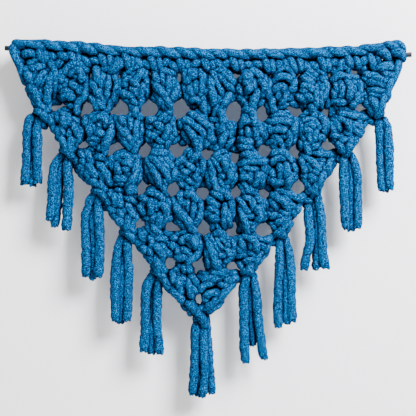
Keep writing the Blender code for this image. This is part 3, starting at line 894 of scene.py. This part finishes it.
def makeChenille():  # polyester chenille: short matt pile, lighter on its tips
    matt = {"Roughness": 0.9, "Specular IOR Level": 0.03}
    material, tree, shader = newMaterial("polyesterChenille", matt)
    place = addNode(tree, "ShaderNodeTexCoord").outputs["Object"]
    tuft = addNode(tree, "ShaderNodeTexNoise", {"Scale": pile["tuftsPerMm"] / mm, "Detail": 0.0},
                   {"Vector": place})
    clump = addNode(tree, "ShaderNodeTexNoise", {"Scale": pile["clumpsPerMm"] / mm, "Detail": 2.0,
                                                 "Roughness": 0.6}, {"Vector": place})
    height = addNode(tree, "ShaderNodeMix", {"data_type": "FLOAT", "Factor": 0.25},
                     {"A": tuft.outputs["Fac"], "B": clump.outputs["Fac"]}).outputs["Result"]
    ramp = addNode(tree, "ShaderNodeValToRGB", None, {"Fac": height})
    ramp.color_ramp.elements[0].position = 0.44
    ramp.color_ramp.elements[0].color = linearColour("#010f2b")
    ramp.color_ramp.elements[1].position = 0.66
    ramp.color_ramp.elements[1].color = linearColour("#027ec1")
    between = ramp.color_ramp.elements.new(0.52)
    between.color = linearColour("#12345f")
    # painted shade: ambient occlusion at two reaches darkens the base colour in creases and in hollows
    # between fans
    both = addNode(tree, "ShaderNodeMath", {"operation": "MULTIPLY"})
    for k, (reach, closed, clear, least) in enumerate(pile["creases"]):
        sky = addNode(tree, "ShaderNodeAmbientOcclusion", {"samples": 8, "Distance": reach * mm})
        shade = addNode(tree, "ShaderNodeMapRange", {"From Min": closed, "From Max": clear, "To Min": least},
                        {"Value": sky.outputs["AO"]})
        tree.links.new(shade.outputs["Result"], both.inputs[k])
    blend = addNode(tree, "ShaderNodeMix", {"data_type": "RGBA", "blend_type": "MULTIPLY"})
    blend.inputs["Factor"].default_value = 1.0
    tree.links.new(ramp.outputs["Color"], blend.inputs["A"])
    # the painted shade is tinted navy rather than grey
    paintedShadeTint = addNode(tree, "ShaderNodeValToRGB", None, {"Fac": both.outputs["Value"]})
    paintedShadeTint.color_ramp.elements.new(0.4).color = linearColour("#a09faf")  # creases turn navy, not grey
    paintedShadeTint.color_ramp.elements[2].color = linearColour("#ffffff")
    tree.links.new(paintedShadeTint.outputs["Color"], blend.inputs["B"])
    tree.links.new(blend.outputs["Result"], shader.inputs["Base Color"])
    bump = addNode(tree, "ShaderNodeBump", {"Strength": 1.0, "Distance": pile["tuftDepth"] * mm},
                   {"Height": height})
    tree.links.new(bump.outputs["Normal"], shader.inputs["Normal"])
    return material


grain = {
    "length": 6.25, "slender": 14.0,  # streaks 6 mm long and 0.45 mm wide
    "depth": 0.2,
}


def paintDowel():  # black painted wood: a soft shine and faint lengthwise grain
    satin = {"Roughness": 0.5, "Specular IOR Level": 0.25}
    material, tree, shader = newMaterial("blackPaintedWood", satin)
    place = addNode(tree, "ShaderNodeTexCoord").outputs["Object"]
    along = addNode(tree, "ShaderNodeMapping", {"Scale": (1.0, grain["slender"], grain["slender"])},
                    {"Vector": place})
    streaks = addNode(tree, "ShaderNodeTexNoise", {"Scale": 1 / (grain["length"] * mm), "Detail": 3.0},
                      {"Vector": along.outputs["Vector"]}).outputs["Fac"]
    ramp = addNode(tree, "ShaderNodeValToRGB", None, {"Fac": streaks})
    ramp.color_ramp.elements[0].color = linearColour("#05070f")
    ramp.color_ramp.elements[1].color = linearColour("#101a2b")
    tree.links.new(ramp.outputs["Color"], shader.inputs["Base Color"])
    bump = addNode(tree, "ShaderNodeBump", {"Strength": 0.4, "Distance": grain["depth"] * mm},
                   {"Height": streaks})
    tree.links.new(bump.outputs["Normal"], shader.inputs["Normal"])
    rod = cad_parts["rod"]
    rod.data.materials.clear()
    rod.data.materials.append(material)


# stage: a pale wall close behind, a floor and soft light

stage = {
    "wallBehind": 0.028, "floorBelow": -0.95, "size": 6.0, "wall": "#f4f5f8", "floor": "#d9d8d4",
    "glow": 0.11,  # light that the wall gives back on its own
    "sky": 0.37, "lit": (0, 0, -0.15),  # strength of the sky, and where the lamps point
    "lamps": {  # place, size in m, power in W and colour
        "keyLight": ((0.9, -1.1, 0.85), 0.75, 144.0, (0.97, 0.98, 1.0)),
        "fillLight": ((-1.1, -1.2, 0.7), 1.2, 11.0, (1.0, 0.96, 0.9)),
        "backLight": ((0.5, 1.9, 0.5), 1.5, 34.0, (1.0, 1.0, 1.0)),
    },
}


def makeStage():
    wallColour = linearColour(stage["wall"])
    paint, tree, shader = newMaterial("mattWallPaint", {
        "Base Color": wallColour, "Roughness": 0.9, "Emission Color": wallColour,
        "Emission Strength": stage["glow"]})
    facing = addNode(tree, "ShaderNodeNewGeometry").outputs["Backfacing"]  # clear when seen from behind
    clear = addNode(tree, "ShaderNodeBsdfTransparent").outputs["BSDF"]
    oneSided = addNode(tree, "ShaderNodeMixShader", None, {"Fac": facing})
    tree.links.new(shader.outputs["BSDF"], oneSided.inputs[1])
    tree.links.new(clear, oneSided.inputs[2])
    tree.links.new(oneSided.outputs["Shader"], tree.nodes["Material Output"].inputs["Surface"])
    bpy.ops.mesh.primitive_plane_add(size=stage["size"], location=(0, stage["wallBehind"], 0),
                                     rotation=(math.pi / 2, 0, 0))
    wall = bpy.context.object
    wall.name = "paleWall"
    wall.data.materials.append(paint)
    wall.visible_diffuse = wall.visible_shadow = False  # so the back of the yarn still gets light
    boards = newMaterial("paleFloorPaint", {"Base Color": linearColour(stage["floor"]), "Roughness": 0.8})[0]
    bpy.ops.mesh.primitive_plane_add(size=stage["size"], location=(0, 0, stage["floorBelow"]))
    floor = bpy.context.object
    floor.name = "paleFloor"
    floor.data.materials.append(boards)
    world = bpy.data.worlds.new("studio")
    bpy.context.scene.world = world
    world.use_nodes = True
    sky = world.node_tree.nodes["Background"]
    sky.inputs["Color"].default_value = (0.95, 0.97, 1.0, 1.0)
    sky.inputs["Strength"].default_value = stage["sky"]
    for name, (place, size, power, colour) in stage["lamps"].items():
        data = bpy.data.lights.new(name, "AREA")
        data.size = size
        data.energy = power
        data.color = colour
        lamp = bpy.data.objects.new(name, data)
        lamp.location = place
        lamp.rotation_euler = (Vector(stage["lit"]) - Vector(place)).to_track_quat("-Z", "Y").to_euler()
        bpy.context.scene.collection.objects.link(lamp)
    print("stage has", len(stage["lamps"]), "lamps")


makeCamera()
chenille = makeChenille()
makeRows()
makeEdging()
makeTassels()
paintDowel()
makeStage()
